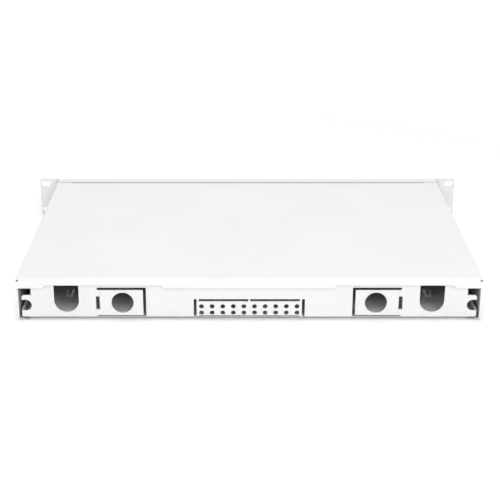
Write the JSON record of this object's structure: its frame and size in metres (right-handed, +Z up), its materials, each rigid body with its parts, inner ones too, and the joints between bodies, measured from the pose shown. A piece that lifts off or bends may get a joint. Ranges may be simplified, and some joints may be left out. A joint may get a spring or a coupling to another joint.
{
  "type": "fibre termination box",
  "caption": "Rack-mount slide-out fibre termination box: steel sleeve with ears, drawer with adapter panel, splice trays and a rear wall with cable entries.",
  "frame": {"origin": "middle of the four rack slots, in the back face of the ears", "axes": "+X to the right as seen from the front, +Y towards the back of the rack, +Z up"},
  "size_m": [0.4826, 0.3108, 0.044],
  "materials": {
    "sleeve_coat": "light grey-white powder coat, fine texture",
    "ear_coat": "light grey-white powder coat, fine texture",
    "drawer_coat": "light grey-white powder coat, fine texture",
    "zinc_steel": "bright zinc plate",
    "rivet_aluminium": "plain aluminium",
    "earth_brass": "plain brass",
    "glide_nylon": "natural nylon",
    "adapter_plastic": "moulded blue plastic",
    "cap_plastic": "soft white plastic",
    "latch_plastic": "moulded black nylon",
    "splice_tray_plastic": "moulded off-white plastic",
    "splice_holder_rubber": "soft moulded elastomer",
    "clear_lid": "clear polycarbonate",
    "clip_nylon": "natural nylon"
  },
  "bodies": {
    "housing": {"outer_sleeve": "sleeve_coat", "rack_ear_left": "ear_coat", "rack_ear_right": "ear_coat", "ear_screws": "zinc_steel", "ear_nuts": "zinc_steel", "glide_left": "glide_nylon", "glide_right": "glide_nylon"},
    "drawer": {"tray": "drawer_coat", "gland_flap_left": "drawer_coat", "gland_flap_right": "drawer_coat", "front_panel": "drawer_coat", "panel_rivets": "rivet_aluminium", "adapter_01": "adapter_plastic", "adapter_02": "adapter_plastic", "adapter_03": "adapter_plastic", "adapter_04": "adapter_plastic", "adapter_05": "adapter_plastic", "adapter_06": "adapter_plastic", "adapter_07": "adapter_plastic", "adapter_08": "adapter_plastic", "adapter_09": "adapter_plastic", "adapter_10": "adapter_plastic", "adapter_11": "adapter_plastic", "adapter_12": "adapter_plastic", "adapter_screws": "zinc_steel", "adapter_nuts": "zinc_steel", "inner_dust_caps": "cap_plastic", "latch_grommet_left": "latch_plastic", "latch_grommet_right": "latch_plastic", "splice_tray_lower": "splice_tray_plastic", "splice_tray_upper": "splice_tray_plastic", "splice_holder_lower": "splice_holder_rubber", "splice_holder_upper": "splice_holder_rubber", "tray_studs": "zinc_steel", "tray_spacers": "zinc_steel", "tray_nuts": "zinc_steel", "fibre_spool_left": "splice_tray_plastic", "fibre_spool_right": "splice_tray_plastic", "cable_anchors": "zinc_steel", "anchor_clamps": "zinc_steel", "anchor_screws": "zinc_steel", "earth_stud": "earth_brass", "earth_nut": "earth_brass", "fibre_clips": "clip_nylon"},
    "latch_plunger_left": {"latch_plunger_left": "latch_plastic"},
    "latch_plunger_right": {"latch_plunger_right": "latch_plastic"},
    "splice_lid": {"splice_lid": "clear_lid"},
    "dust_cap_01": {"dust_cap_01": "cap_plastic"},
    "dust_cap_02": {"dust_cap_02": "cap_plastic"},
    "dust_cap_03": {"dust_cap_03": "cap_plastic"},
    "dust_cap_04": {"dust_cap_04": "cap_plastic"},
    "dust_cap_05": {"dust_cap_05": "cap_plastic"},
    "dust_cap_06": {"dust_cap_06": "cap_plastic"},
    "dust_cap_07": {"dust_cap_07": "cap_plastic"},
    "dust_cap_08": {"dust_cap_08": "cap_plastic"},
    "dust_cap_09": {"dust_cap_09": "cap_plastic"},
    "dust_cap_10": {"dust_cap_10": "cap_plastic"},
    "dust_cap_11": {"dust_cap_11": "cap_plastic"},
    "dust_cap_12": {"dust_cap_12": "cap_plastic"}
  },
  "joints": [
    {"name": "drawer_slide", "type": "slide", "parent": "housing", "child": "drawer", "axis": [0, -1, 0], "range_m": [0, 0.21]},
    {"name": "latch_left_pull", "type": "slide", "parent": "drawer", "child": "latch_plunger_left", "axis": [0, -1, 0], "range_m": [0, 0.006]},
    {"name": "latch_right_pull", "type": "slide", "parent": "drawer", "child": "latch_plunger_right", "axis": [0, -1, 0], "range_m": [0, 0.006]},
    {"name": "splice_lid_lift", "type": "slide", "parent": "drawer", "child": "splice_lid", "axis": [0, 0, 1], "range_m": [0, 0.01]},
    {"name": "dust_cap_01_pull", "type": "slide", "parent": "drawer", "child": "dust_cap_01", "axis": [0, -1, 0], "range_m": [0, 0.012]},
    {"name": "dust_cap_02_pull", "type": "slide", "parent": "drawer", "child": "dust_cap_02", "axis": [0, -1, 0], "range_m": [0, 0.012]},
    {"name": "dust_cap_03_pull", "type": "slide", "parent": "drawer", "child": "dust_cap_03", "axis": [0, -1, 0], "range_m": [0, 0.012]},
    {"name": "dust_cap_04_pull", "type": "slide", "parent": "drawer", "child": "dust_cap_04", "axis": [0, -1, 0], "range_m": [0, 0.012]},
    {"name": "dust_cap_05_pull", "type": "slide", "parent": "drawer", "child": "dust_cap_05", "axis": [0, -1, 0], "range_m": [0, 0.012]},
    {"name": "dust_cap_06_pull", "type": "slide", "parent": "drawer", "child": "dust_cap_06", "axis": [0, -1, 0], "range_m": [0, 0.012]},
    {"name": "dust_cap_07_pull", "type": "slide", "parent": "drawer", "child": "dust_cap_07", "axis": [0, -1, 0], "range_m": [0, 0.012]},
    {"name": "dust_cap_08_pull", "type": "slide", "parent": "drawer", "child": "dust_cap_08", "axis": [0, -1, 0], "range_m": [0, 0.012]},
    {"name": "dust_cap_09_pull", "type": "slide", "parent": "drawer", "child": "dust_cap_09", "axis": [0, -1, 0], "range_m": [0, 0.012]},
    {"name": "dust_cap_10_pull", "type": "slide", "parent": "drawer", "child": "dust_cap_10", "axis": [0, -1, 0], "range_m": [0, 0.012]},
    {"name": "dust_cap_11_pull", "type": "slide", "parent": "drawer", "child": "dust_cap_11", "axis": [0, -1, 0], "range_m": [0, 0.012]},
    {"name": "dust_cap_12_pull", "type": "slide", "parent": "drawer", "child": "dust_cap_12", "axis": [0, -1, 0], "range_m": [0, 0.012]}
  ]
}
